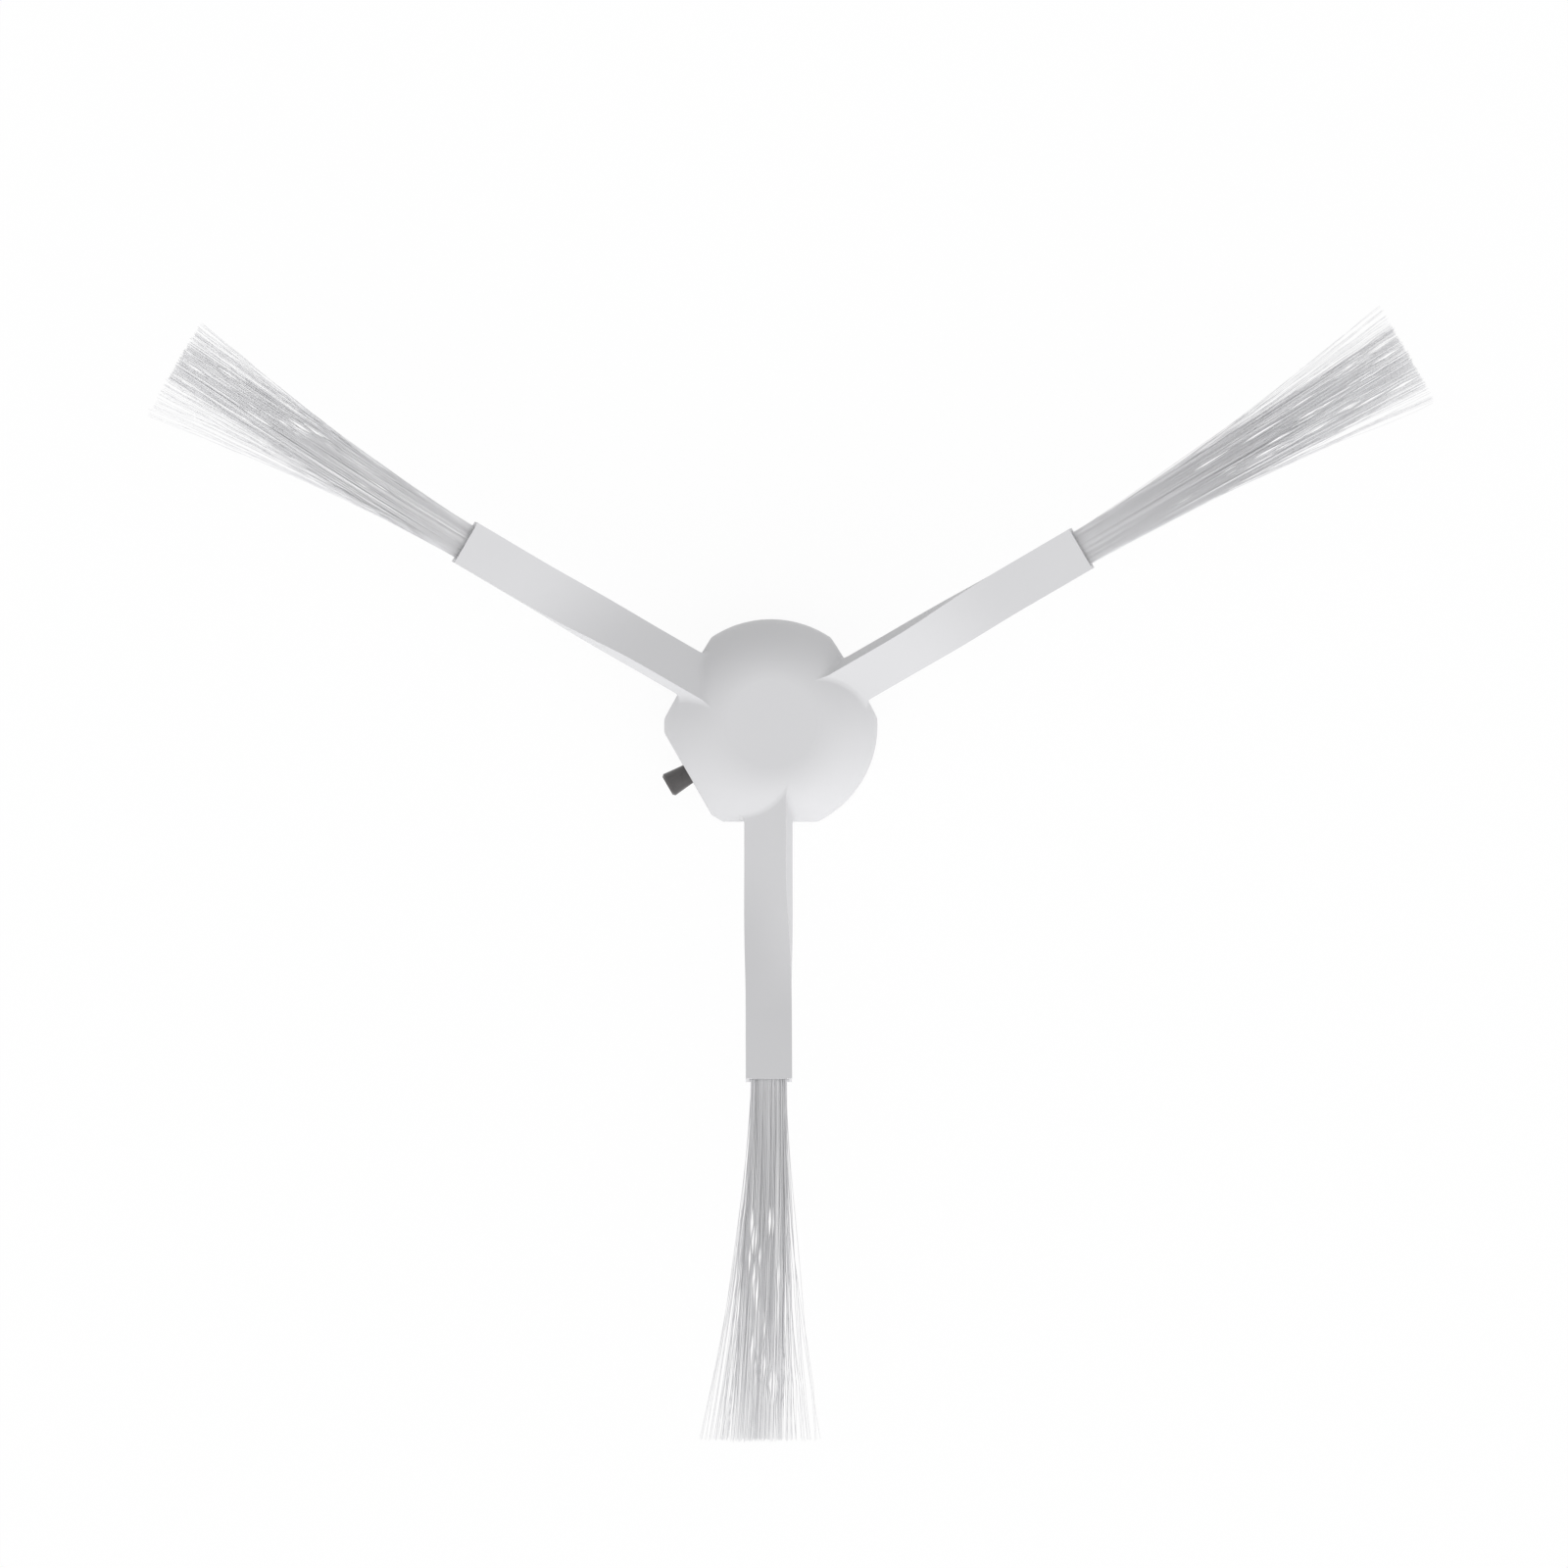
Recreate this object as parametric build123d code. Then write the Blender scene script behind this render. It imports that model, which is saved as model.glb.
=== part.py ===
from build123d import *
from math import cos, pi, radians, sin
from random import Random
import os

# Side brush of a robot vacuum, in millimetres. The origin is on the turning axis at the rear rim, and
# +Z points out of the domed cap, towards the floor that the brush sweeps.

# Hub
hub_radius = 12.5
hub_height = 13.0
crown_round = 7.2
crown_rings = 8
flat_depth = 1.3
flat_round = 0.4
rim_chamfer = 0.3
skirt_wall = 1.6
crown_thickness = 6.0
boss_wall = 2.2
rib_count = 6
rib_thickness = 1.2
rib_setback = 0.6

# Drive bore
bore_radius = 3.0
bore_depth = 8.5
bore_lead = 0.3

# Arms
arm_angles = {"right": 30, "left": 150, "lower": 270}
arm_width = 5.3
arm_thickness = 1.9
arm_reach = 41.0
arm_drop = 2.49
arm_offset = 0.36
arm_twist = 26.0
arm_slope = 16.0
arm_root_run = 5.0
arm_root_fillet = 0.8
twist_stations = 9

# Sleeve and socket at the end of each arm
sleeve_length = 8.0
socket_wall = 0.55
socket_skin = 0.45
socket_depth = 6.5
mouth_lead = 0.2

# Bristle tufts
tuft_clearance = 0.02
tuft_inset = 0.6
bristle_length = 40.5
bristle_width = 0.2
bristle_pitch = 0.235
bristle_margin = 0.1
bristle_anchor = 0.5
tip_width = 11.4
tip_depth = 4.4
tip_scatter = 0.15

# Retaining pin
pin_angle = 210
pin_height = 4.0
pin_shank_radius = 1.0
pin_neck_radius = 1.2
pin_head_radius = 1.45
pin_projection = 2.8
pin_edge = 0.25
pin_clearance = 0.02
pin_bore_gap = 0.1
pin_web = 4.6

# Places that follow from the sizes above
flat_angles = [*arm_angles.values(), pin_angle]
flat_distance = hub_radius - flat_depth
plateau_radius = hub_radius - crown_round
shoulder_height = hub_height - crown_round
recess_depth = hub_height - crown_thickness
boss_radius = bore_radius + boss_wall
arm_root_height = hub_height - arm_drop
bend_start = flat_distance + arm_root_run
bend_end = arm_reach - sleeve_length
bend_radius = (bend_end - bend_start) / sin(radians(arm_slope))
socket_width = arm_width - 2 * socket_wall
socket_height = arm_thickness - 2 * socket_skin


def rim_outline(inset):
    """Plan of the hub: a circle with a flat at each arm and one at the pin."""
    outline = Circle(hub_radius - inset)
    beyond = Pos(flat_distance - inset + hub_radius, 0) * Rectangle(2 * hub_radius, 4 * hub_radius)
    for angle in flat_angles:
        outline -= Rot(0, 0, angle) * beyond
    return outline


def bounds_a_flat(edge):
    """True for an edge of one of the hub's flats, apart from the edge at the rear rim."""
    middle = edge @ 0.5
    reach = [middle.dot(Vector(1, 0, 0).rotate(Axis.Z, angle)) for angle in flat_angles]
    return middle.Z > rim_chamfer and abs(max(reach) - flat_distance) < 1e-4


def hub():
    """Domed cap with a hollow back, a boss on ribs and the drive bore."""
    rings = []
    for i in range(crown_rings):
        turn = pi / 2 * i / (crown_rings - 1)
        ring = Circle(plateau_radius + crown_round * cos(turn))
        rings.append(Pos(0, 0, shoulder_height + crown_round * sin(turn)) * ring)
    cap = extrude(Circle(hub_radius), shoulder_height) + loft(rings)
    cap &= extrude(rim_outline(0), hub_height)
    cap = fillet(cap.edges().filter_by(bounds_a_flat), flat_round)
    cap = chamfer(cap.faces().sort_by(Axis.Z)[0].edges(), rim_chamfer)

    recess = extrude(rim_outline(skirt_wall), recess_depth)
    recess -= Cylinder(boss_radius, 2 * recess_depth)
    rib = Pos(hub_radius / 2, 0, rib_setback + recess_depth / 2) * Box(hub_radius, rib_thickness, recess_depth)
    for i in range(rib_count):
        recess -= Rot(0, 0, arm_angles["right"] + i * 360 / rib_count) * rib
    web = Pos(hub_radius / 2, 0, recess_depth / 2) * Box(hub_radius, pin_web, recess_depth)
    cap -= recess - Rot(0, 0, pin_angle) * web

    bore = Pos(0, 0, bore_depth / 2) * Cylinder(bore_radius, bore_depth)
    lead = Pos(0, 0, bore_lead / 2) * Cone(bore_radius + bore_lead, bore_radius, bore_lead)
    return cap - bore - lead


def station(share):
    """Plane across an arm's middle line: share 0 is the end of its level root, 1 the start of its sleeve.

    The plane's X lies along the arm's width, its Y through the thickness and its Z along the arm.
    """
    slope = radians(arm_slope) * share
    twist = radians(arm_twist) * (1 + cos(pi * share)) / 2
    x = bend_start + bend_radius * sin(slope)
    z = arm_root_height + bend_radius * (1 - cos(slope))
    along = Vector(cos(slope), 0, sin(slope))
    up = Vector(-sin(slope), 0, cos(slope))
    across = Vector(0, 1, 0) * cos(twist) + up * sin(twist)
    return Plane(origin=(x, -arm_offset, z), x_dir=across, z_dir=along)


sleeve_start = station(1)
sleeve_end = sleeve_start.offset(sleeve_length / cos(radians(arm_slope)))
socket_floor = sleeve_end.offset(-socket_depth)
outward = Vector(1, 0, 0).rotate(Axis.Z, pin_angle)
pin_seat = Plane(origin=outward * flat_distance + Vector(0, 0, pin_height), z_dir=outward)


def arm():
    """One arm along +X: a level root, a blade that untwists as it rises, and a hollow sleeve."""
    section = Rectangle(arm_width, arm_thickness)
    root = extrude(station(0) * section, plateau_radius - bend_start)
    blade = loft([station(i / (twist_stations - 1)) * section for i in range(twist_stations)])

    sleeve = extrude(sleeve_start * section, sleeve_length / cos(radians(arm_slope)))
    sleeve -= extrude(socket_floor * Rectangle(socket_width, socket_height), socket_depth)
    mouth_face = sleeve.faces().sort_by(Axis(sleeve_end.origin, sleeve_end.z_dir))[-1]
    mouth_edges = mouth_face.inner_wires()[0].edges()
    lip = [edge for edge in sleeve.edges() if any(edge.is_same(other) for other in mouth_edges)]
    sleeve = chamfer(lip, mouth_lead)
    return root + blade + sleeve


def brush_body():
    """Hub and arms as one moulding, with a rounded joint at each root and the hole for the pin."""
    cap = hub()
    arms = [Rot(0, 0, angle) * arm() for angle in arm_angles.values()]
    body = cap + arms
    body = fillet(new_edges(cap, *arms, combined=body), arm_root_fillet)
    hole = extrude(pin_seat * Circle(pin_shank_radius + pin_clearance), -flat_distance)
    return body - hole


def bristle_tuft(seed):
    """Filaments bound in a block that fills the socket, spreading from there to a straight cut."""
    scatter = Random(seed)
    width = socket_width - 2 * tuft_clearance
    depth = socket_height - 2 * tuft_clearance
    block = extrude(Rectangle(width, depth), socket_depth - tuft_inset - tuft_clearance)
    block = Pos(0, 0, tuft_clearance - socket_depth) * block
    run = bristle_length + tuft_inset
    half_width = width / 2 - bristle_margin - bristle_width / 2
    half_depth = depth / 2 - bristle_margin - bristle_width / 2
    columns = int(width / bristle_pitch)
    rows = int(depth / bristle_pitch)
    bristles = []
    for row in range(rows):
        level = 2 * row / (rows - 1) - 1
        for column in range(columns):
            place = (2 * column + (2 * row + 1) / rows) / columns - 1
            tip_x = place * tip_width / 2 + scatter.uniform(-tip_scatter, tip_scatter)
            tip_y = level * tip_depth / 2 + scatter.uniform(-tip_scatter, tip_scatter)
            root = Vector(place * half_width, level * half_depth, -tuft_inset)
            path = Vector((tip_x - root.X) / run, (tip_y - root.Y) / run, 1)
            foot = root - path * bristle_anchor
            section = Pos(foot) * RegularPolygon(bristle_width / 2, 3)
            bristles.append(extrude(section, path.length * (run + bristle_anchor), dir=path))
    return sleeve_end * (block + bristles)


def retaining_pin():
    """Pin pressed into the fourth flat: a plain shank and a head that widens outwards."""
    inner = bore_radius + pin_bore_gap - flat_distance
    profile = Polyline(
        (0, inner),
        (pin_shank_radius - pin_edge, inner),
        (pin_shank_radius, inner + pin_edge),
        (pin_shank_radius, 0),
        (pin_neck_radius, 0),
        (pin_head_radius, pin_projection - pin_edge),
        (pin_head_radius - pin_edge, pin_projection),
        (0, pin_projection),
        close=True,
    )
    return pin_seat * revolve(Plane.XZ * make_face(profile), Axis.Z)


os.makedirs("parts", exist_ok=True)
export_step(brush_body(), "parts/brush_body.step")
for seed, (side, angle) in enumerate(arm_angles.items()):
    export_step(Rot(0, 0, angle) * bristle_tuft(seed), f"parts/bristle_tuft_{side}.step")
export_step(retaining_pin(), "parts/retaining_pin.step")
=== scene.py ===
import math
import random

import bpy
from mathutils import Matrix, Vector


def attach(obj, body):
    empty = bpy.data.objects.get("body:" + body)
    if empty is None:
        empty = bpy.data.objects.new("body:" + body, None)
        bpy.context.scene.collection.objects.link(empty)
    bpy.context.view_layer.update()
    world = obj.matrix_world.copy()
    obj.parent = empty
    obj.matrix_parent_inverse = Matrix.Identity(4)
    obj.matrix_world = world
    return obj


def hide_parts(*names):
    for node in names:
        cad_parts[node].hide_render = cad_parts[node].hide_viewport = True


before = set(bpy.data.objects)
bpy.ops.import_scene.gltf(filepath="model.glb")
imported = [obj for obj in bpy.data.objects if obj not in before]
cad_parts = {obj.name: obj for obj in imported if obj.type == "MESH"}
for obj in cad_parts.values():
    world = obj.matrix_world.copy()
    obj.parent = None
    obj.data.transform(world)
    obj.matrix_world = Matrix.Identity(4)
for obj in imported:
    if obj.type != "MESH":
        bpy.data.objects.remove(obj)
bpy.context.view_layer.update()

# Brush body
# The hub and its three twisted arms are one injection moulding in pale grey plastic, straight from
# a finely eroded mould, so the skin is satin with a faint grain and a slight drift in tone.

body_dark = (0.630, 0.630, 0.644, 1)
body_light = (0.670, 0.670, 0.683, 1)
body_roughness = 0.42
body_index = 1.54
drift_waves = 60.0
drift_detail = 2.0
drift_roughness = 0.10
skin_waves = 2600.0
skin_detail = 3.0
skin_roughness = 0.06
skin_strength = 0.12
skin_depth = 0.00004


class Wire:
    """A value in a material's node tree. Arithmetic on it adds Math nodes."""

    def __init__(self, tree, socket=None):
        self.tree = tree
        self.socket = socket

    def node(self, kind, settings, sockets, output=0):
        """Adds a node: its settings first, then a value or a wire for each named socket."""
        made = self.tree.nodes.new(kind)
        for name, value in settings.items():
            setattr(made, name, value)
        for name, value in sockets.items():
            socket = made.inputs[name]
            if isinstance(value, Wire):
                self.tree.links.new(value.socket, socket)
            else:
                socket.default_value = value
        return Wire(self.tree, made.outputs[output]) if len(made.outputs) else None

    def maths(self, operation, first, second):
        """Adds a Math node on two values or wires."""
        return self.node("ShaderNodeMath", {"operation": operation}, {0: first, 1: second})

    def __add__(self, other):
        return self.maths("ADD", self, other)

    def __radd__(self, other):
        return self.maths("ADD", other, self)

    def __sub__(self, other):
        return self.maths("SUBTRACT", self, other)

    def __rsub__(self, other):
        return self.maths("SUBTRACT", other, self)

    def __mul__(self, other):
        return self.maths("MULTIPLY", self, other)

    def __rmul__(self, other):
        return self.maths("MULTIPLY", other, self)


def new_finish(name):
    """An empty material, with the wire that starts its node tree."""
    finish = bpy.data.materials.new(name)
    finish.use_nodes = True
    finish.node_tree.nodes.clear()
    return finish, Wire(finish.node_tree)


def blend_colour(tree, share, dark, light):
    """A wire that goes from one colour to another as share goes from 0 to 1.

    The node's sockets share their names; 6, 7 and output 2 are those for colours.
    """
    ends = {0: share, 6: dark, 7: light}
    return tree.node("ShaderNodeMix", {"data_type": "RGBA"}, ends, output=2)


def grain(tree, place, waves, detail):
    """Cloudy noise with that many waves per metre."""
    sockets = {"Vector": place, "Scale": waves, "Detail": detail}
    return tree.node("ShaderNodeTexNoise", {}, sockets)


def relief(tree, strength, depth, height):
    """A normal that follows a height between 0 and 1, with that depth in metres."""
    sockets = {"Strength": strength, "Distance": depth, "Height": height}
    return tree.node("ShaderNodeBump", {}, sockets)


def satin_plastic():
    """Pale satin plastic with a slow drift in tone and the fine grain of the mould."""
    finish, tree = new_finish("satin_plastic")
    place = tree.node("ShaderNodeTexCoord", {}, {}, output="Object")
    drift = grain(tree, place, drift_waves, drift_detail)
    skin = grain(tree, place, skin_waves, skin_detail)
    colour = blend_colour(tree, drift, body_dark, body_light)
    rough = body_roughness + drift_roughness * drift + skin_roughness * skin
    bump = relief(tree, skin_strength, skin_depth, skin)
    shader = tree.node(
        "ShaderNodeBsdfPrincipled",
        {},
        {"Base Color": colour, "Roughness": rough, "Normal": bump, "IOR": body_index},
    )
    tree.node("ShaderNodeOutputMaterial", {}, {"Surface": shader})
    return finish


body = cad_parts["brush_body"]
body.data.materials.clear()
body.data.materials.append(satin_plastic())


# Retaining pin
# A small dark turned pin, pressed into the hub's fourth flat. Its head has fine rings from the
# lathe and a slight sheen.

pin_angle = math.radians(210)
pin_dark = (0.066, 0.062, 0.062, 1)
pin_light = (0.100, 0.095, 0.095, 1)
pin_roughness = 0.26
pin_index = 1.5
pin_strength = 0.12
pin_depth = 0.00003
cloud_waves = 900.0
cloud_detail = 2.0
cloud_roughness = 0.12
ring_pitch = 0.00012
ring_roughness = 0.03
ring_height = 0.4


def dark_pin():
    """Dark, slightly shiny finish with rings along the pin's axis."""
    finish, tree = new_finish("dark_pin")
    place = tree.node("ShaderNodeTexCoord", {}, {}, output="Object")
    cloud = grain(tree, place, cloud_waves, cloud_detail)
    along = tree.node(
        "ShaderNodeVectorMath",
        {"operation": "DOT_PRODUCT"},
        {0: place, 1: (math.cos(pin_angle), math.sin(pin_angle), 0)},
        output="Value",
    )
    turns = along * (2 * math.pi / ring_pitch)
    rings = tree.node("ShaderNodeMath", {"operation": "SINE"}, {0: turns})
    colour = blend_colour(tree, cloud, pin_dark, pin_light)
    rough = pin_roughness + cloud_roughness * cloud + ring_roughness * rings
    bump = relief(tree, pin_strength, pin_depth, cloud + ring_height * rings)
    shader = tree.node(
        "ShaderNodeBsdfPrincipled",
        {},
        {"Base Color": colour, "Roughness": rough, "Normal": bump, "IOR": pin_index},
    )
    tree.node("ShaderNodeOutputMaterial", {}, {"Surface": shader})
    return finish


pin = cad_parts["retaining_pin"]
pin.data.materials.clear()
pin.data.materials.append(dark_pin())


# Bristle tufts
# Each arm ends in a socket that holds a flat bundle of fine nylon filaments, glued at the root and
# cut square after fitting. They lie close at the socket, spread towards the tip and part in places.

arm_reach = 0.0410
arm_offset = 0.00036
arm_slope = math.radians(16)
mouth_height = 0.01517
socket_width = 0.0042
socket_height = 0.0010
socket_margin = 0.00004
filament_root = 0.000048
filament_tip = 0.000022
filament_sides = 4
filament_steps = 20
filament_inset = 0.003
filament_sway = 0.00010
filament_waves = 4.0
strand_sway = 0.00020
strand_waves = 9.0
strand_fade = 1.6
strand_root = 0.75
fan_power = 1.45
fan_depth = 0.0030
cut_scatter = 0.00010
parting_reach = 0.10
parting_edge = 0.75
parting_span = (0.3, 0.98)
parting_length = (0.025, 0.060)
parting_width = (0.00008, 0.00020)
bunching = 0.2
roundness = 0.8
nylon_dark = (0.86, 0.86, 0.872, 1)
nylon_light = (0.89, 0.89, 0.902, 1)
nylon_roughness = 0.30
nylon_spread = 0.15
nylon_index = 1.53
nylon_shine = 0.3
glow_colour = (0.94, 0.94, 0.952, 1)
glow_share = 0.25


def parting(place, share, partings):
    """How far sideways a filament is pushed by the places where the bundle has parted."""
    push = 0.0
    for at_place, at_share, half_length, half_width in partings:
        near = (share - at_share) / half_length
        if abs(near) < 1:
            side = 1 if place > at_place else -1
            fade = math.exp(-abs(place - at_place) / parting_reach)
            push += side * half_width * fade * (1 + math.cos(math.pi * near)) / 2
    return push


def add_tube(points, corners, faces):
    """Adds a closed square tube along the points, one flat side up, that tapers to the tip."""
    first = len(corners)
    last = len(points) - 1
    for i, point in enumerate(points):
        radius = filament_root + (filament_tip - filament_root) * i / last
        for side in range(filament_sides):
            turn = 2 * math.pi * (side + 0.5) / filament_sides
            corners.append(point + Vector((math.cos(turn), math.sin(turn), 0)) * radius)
    for i in range(last):
        ring = first + i * filament_sides
        beyond = ring + filament_sides
        for side in range(filament_sides):
            after = (side + 1) % filament_sides
            faces.append((ring + side, ring + after, beyond + after, beyond + side))
    end = first + last * filament_sides
    faces.append(tuple(first + side for side in reversed(range(filament_sides))))
    faces.append(tuple(end + side for side in range(filament_sides)))


def nylon():
    """Pale nylon that lets some light through, each filament a little different."""
    finish, tree = new_finish("nylon")
    one = tree.node("ShaderNodeNewGeometry", {}, {}, output="Random Per Island")
    colour = blend_colour(tree, one, nylon_dark, nylon_light)
    skin = tree.node(
        "ShaderNodeBsdfPrincipled",
        {},
        {
            "Base Color": colour,
            "Roughness": nylon_roughness + nylon_spread * one,
            "IOR": nylon_index,
            "Specular IOR Level": nylon_shine,
        },
    )
    glow = tree.node("ShaderNodeBsdfTranslucent", {}, {"Color": glow_colour})
    shader = tree.node("ShaderNodeMixShader", {}, {0: glow_share, 1: skin, 2: glow})
    tree.node("ShaderNodeOutputMaterial", {}, {"Surface": shader})
    return finish


def tuft(name, angle, length, core, rows, columns, ruffle, strands, parted, seed):
    """One bundle: a dense core between two places across its cut end, and strands beside it.

    A strand is given by its inner and outer end across the cut and the number of its filaments.
    """
    draw = random.Random(seed)
    partings = []
    for i in range(parted):
        at = (draw.uniform(-parting_edge, parting_edge), draw.uniform(*parting_span))
        partings.append((*at, draw.uniform(*parting_length), draw.uniform(*parting_width)))
    half_width = socket_width / 2 - socket_margin
    half_height = socket_height / 2 - socket_margin

    filaments = []
    for row in range(rows):
        for i in range(columns):
            even = 2 * (i + draw.random()) / columns - 1
            place = (even + bunching * even ** 3) / (1 + bunching)
            level = 2 * (row + 0.5 + draw.uniform(-ruffle, ruffle)) / rows - 1
            tip = (core[0] + core[1]) / 2 + place * (core[1] - core[0]) / 2
            filaments.append((place, level, tip, filament_sway, filament_waves))
    for inner, outer, count in strands:
        for i in range(count):
            place = math.copysign(draw.uniform(strand_root, 1), outer - inner)
            tip = inner + (outer - inner) * ((i + draw.random()) / count) ** strand_fade
            filaments.append((place, draw.uniform(-1, 1), tip, strand_sway, strand_waves))

    corners, faces = [], []
    for place, flat_level, tip, looseness, waves in filaments:
        level = flat_level * math.sqrt(1 - roundness * place ** 2)
        root = place * half_width
        rise = level * (fan_depth / 2 - half_height)
        sway = draw.gauss(0, looseness)
        phase = draw.uniform(0, 2 * math.pi)
        end = length + draw.gauss(0, cut_scatter)
        points = [Vector((root, level * half_height, -filament_inset))]
        for step in range(filament_steps + 1):
            share = step / filament_steps
            fan = share ** fan_power
            across = root + (tip - root) * fan + sway * math.sin(phase + waves * share) * share
            across += parting(place, share, partings)
            points.append(Vector((across, level * half_height + rise * fan, share * end)))
        add_tube(points, corners, faces)

    along = Vector((math.cos(arm_slope), 0, math.sin(arm_slope)))
    upward = Vector((-math.sin(arm_slope), 0, math.cos(arm_slope)))
    mouth = Matrix((Vector((0, 1, 0)), upward, along)).transposed()
    turn = Matrix.Rotation(math.radians(angle), 3, "Z")
    origin = Vector((arm_reach, -arm_offset, mouth_height))
    mesh = bpy.data.meshes.new(name)
    mesh.from_pydata([turn @ (origin + mouth @ corner) for corner in corners], [], faces)
    mesh.update()
    piece = bpy.data.objects.new(name, mesh)
    bpy.context.scene.collection.objects.link(piece)
    return piece


bristle_finish = nylon()
tufts = {
    "right": {
        "angle": 30,
        "length": 0.0431,
        "core": (-0.0035, 0.0038),
        "rows": 5,
        "columns": 56,
        "ruffle": 0.35,
        "strands": [
            (-0.0035, -0.0043, 18),
            (-0.0051, -0.0056, 12),
            (0.0036, 0.0068, 28),
        ],
        "parted": 34,
        "seed": 11,
    },
    "left": {
        "angle": 150,
        "length": 0.0385,
        "core": (-0.0037, 0.0010),
        "rows": 4,
        "columns": 48,
        "ruffle": 0.08,
        "strands": [
            (-0.0038, -0.0045, 14),
            (-0.0046, -0.0052, 16),
            (-0.0054, -0.0062, 12),
            (0.0008, 0.0060, 50),
        ],
        "parted": 24,
        "seed": 12,
    },
    "lower": {
        "angle": 270,
        "length": 0.0412,
        "core": (-0.0045, 0.0014),
        "rows": 4,
        "columns": 48,
        "ruffle": 0.08,
        "strands": [
            (-0.0047, -0.0058, 18),
            (-0.0058, -0.0080, 16),
            (0.0014, 0.0024, 14),
            (0.0024, 0.0056, 18),
        ],
        "parted": 24,
        "seed": 13,
    },
}
for side, bundle in tufts.items():
    piece = tuft(f"filaments_{side}", **bundle)
    piece.data.materials.append(bristle_finish)
    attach(piece, "root")
    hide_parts(f"bristle_tuft_{side}")


# Table, light and camera
# The brush lies on its rear rim on a white table, under a bright sky that is lighter in front of
# it, with one wide soft lamp low in front and the camera almost straight above.

white = (1, 1, 1, 1)
table_size = 3.0
table_gap = 0.0001
table_colour = (0.97, 0.97, 0.97, 1)
table_glow = 0.92
front = math.radians(-79)
sky_light = 0.95
sky_grade = 0.68
lamp_strength = 0.40
lamp_width = math.radians(40)
lamp_height = math.radians(16)
camera_distance = 0.500
camera_target = Vector((0.00155, -0.0068, 0.005))
camera_lean = (math.radians(-1.0), math.radians(-1.0))
view_width = 0.184


def seen_plainly(tree):
    """A wire that is 1 for rays from the camera and for those that a mirror or glass sends on."""
    path = tree.node("ShaderNodeLightPath", {}, {}, output="Is Camera Ray")
    for kind in ("Is Glossy Ray", "Is Transmission Ray"):
        path = path.maths("MAXIMUM", path, tree.node("ShaderNodeLightPath", {}, {}, output=kind))
    return path


def white_table():
    """Matt white that lights the brush and is seen as almost pure white, with a faint shadow."""
    finish, tree = new_finish("white_table")
    matt = tree.node("ShaderNodeBsdfDiffuse", {}, {"Color": table_colour})
    plain = tree.node("ShaderNodeEmission", {}, {"Color": white, "Strength": 1.0})
    share = table_glow * seen_plainly(tree)
    shader = tree.node("ShaderNodeMixShader", {}, {0: share, 1: matt, 2: plain})
    tree.node("ShaderNodeOutputMaterial", {}, {"Surface": shader})
    return finish


half = table_size / 2
plan = [(-half, -half), (half, -half), (half, half), (-half, half)]
table_mesh = bpy.data.meshes.new("table")
table_mesh.from_pydata([(x, y, -table_gap) for x, y in plan], [], [(0, 1, 2, 3)])
table_mesh.materials.append(white_table())
table = bpy.data.objects.new("table", table_mesh)
bpy.context.scene.collection.objects.link(table)

sky = bpy.data.worlds.new("sky")
bpy.context.scene.world = sky
sky.use_nodes = True
sky.node_tree.nodes.clear()
air = Wire(sky.node_tree)
aim = air.node("ShaderNodeTexCoord", {}, {}, output="Generated")
ahead = air.node(
    "ShaderNodeVectorMath",
    {"operation": "DOT_PRODUCT"},
    {0: aim, 1: (math.cos(front), math.sin(front), 0)},
    output="Value",
)
graded = sky_light + sky_light * sky_grade * ahead
strength = graded + (1 - graded) * seen_plainly(air)
shine = air.node("ShaderNodeBackground", {}, {"Color": white, "Strength": strength})
air.node("ShaderNodeOutputWorld", {}, {"Surface": shine})

lamp_data = bpy.data.lights.new("soft_lamp", "SUN")
lamp_data.energy = lamp_strength
lamp_data.angle = lamp_width
lamp = bpy.data.objects.new("soft_lamp", lamp_data)
bpy.context.scene.collection.objects.link(lamp)
flat = math.cos(lamp_height)
towards_lamp = Vector((flat * math.cos(front), flat * math.sin(front), math.sin(lamp_height)))
lamp.rotation_mode = "QUATERNION"
lamp.rotation_quaternion = towards_lamp.to_track_quat("Z", "Y")

camera_data = bpy.data.cameras.new("camera")
camera_data.sensor_fit = "HORIZONTAL"
camera_data.angle = 2 * math.atan(view_width / 2 / camera_distance)
camera = bpy.data.objects.new("camera", camera_data)
bpy.context.scene.collection.objects.link(camera)
back = Vector((math.tan(camera_lean[0]), math.tan(camera_lean[1]), 1)).normalized()
top = (Vector((0, 1, 0)) - back * back.y).normalized()
turned = Matrix((top.cross(back), top, back)).transposed().to_4x4()
camera.matrix_world = Matrix.Translation(camera_target + back * camera_distance) @ turned
bpy.context.scene.camera = camera

bpy.context.scene.view_settings.view_transform = "Standard"
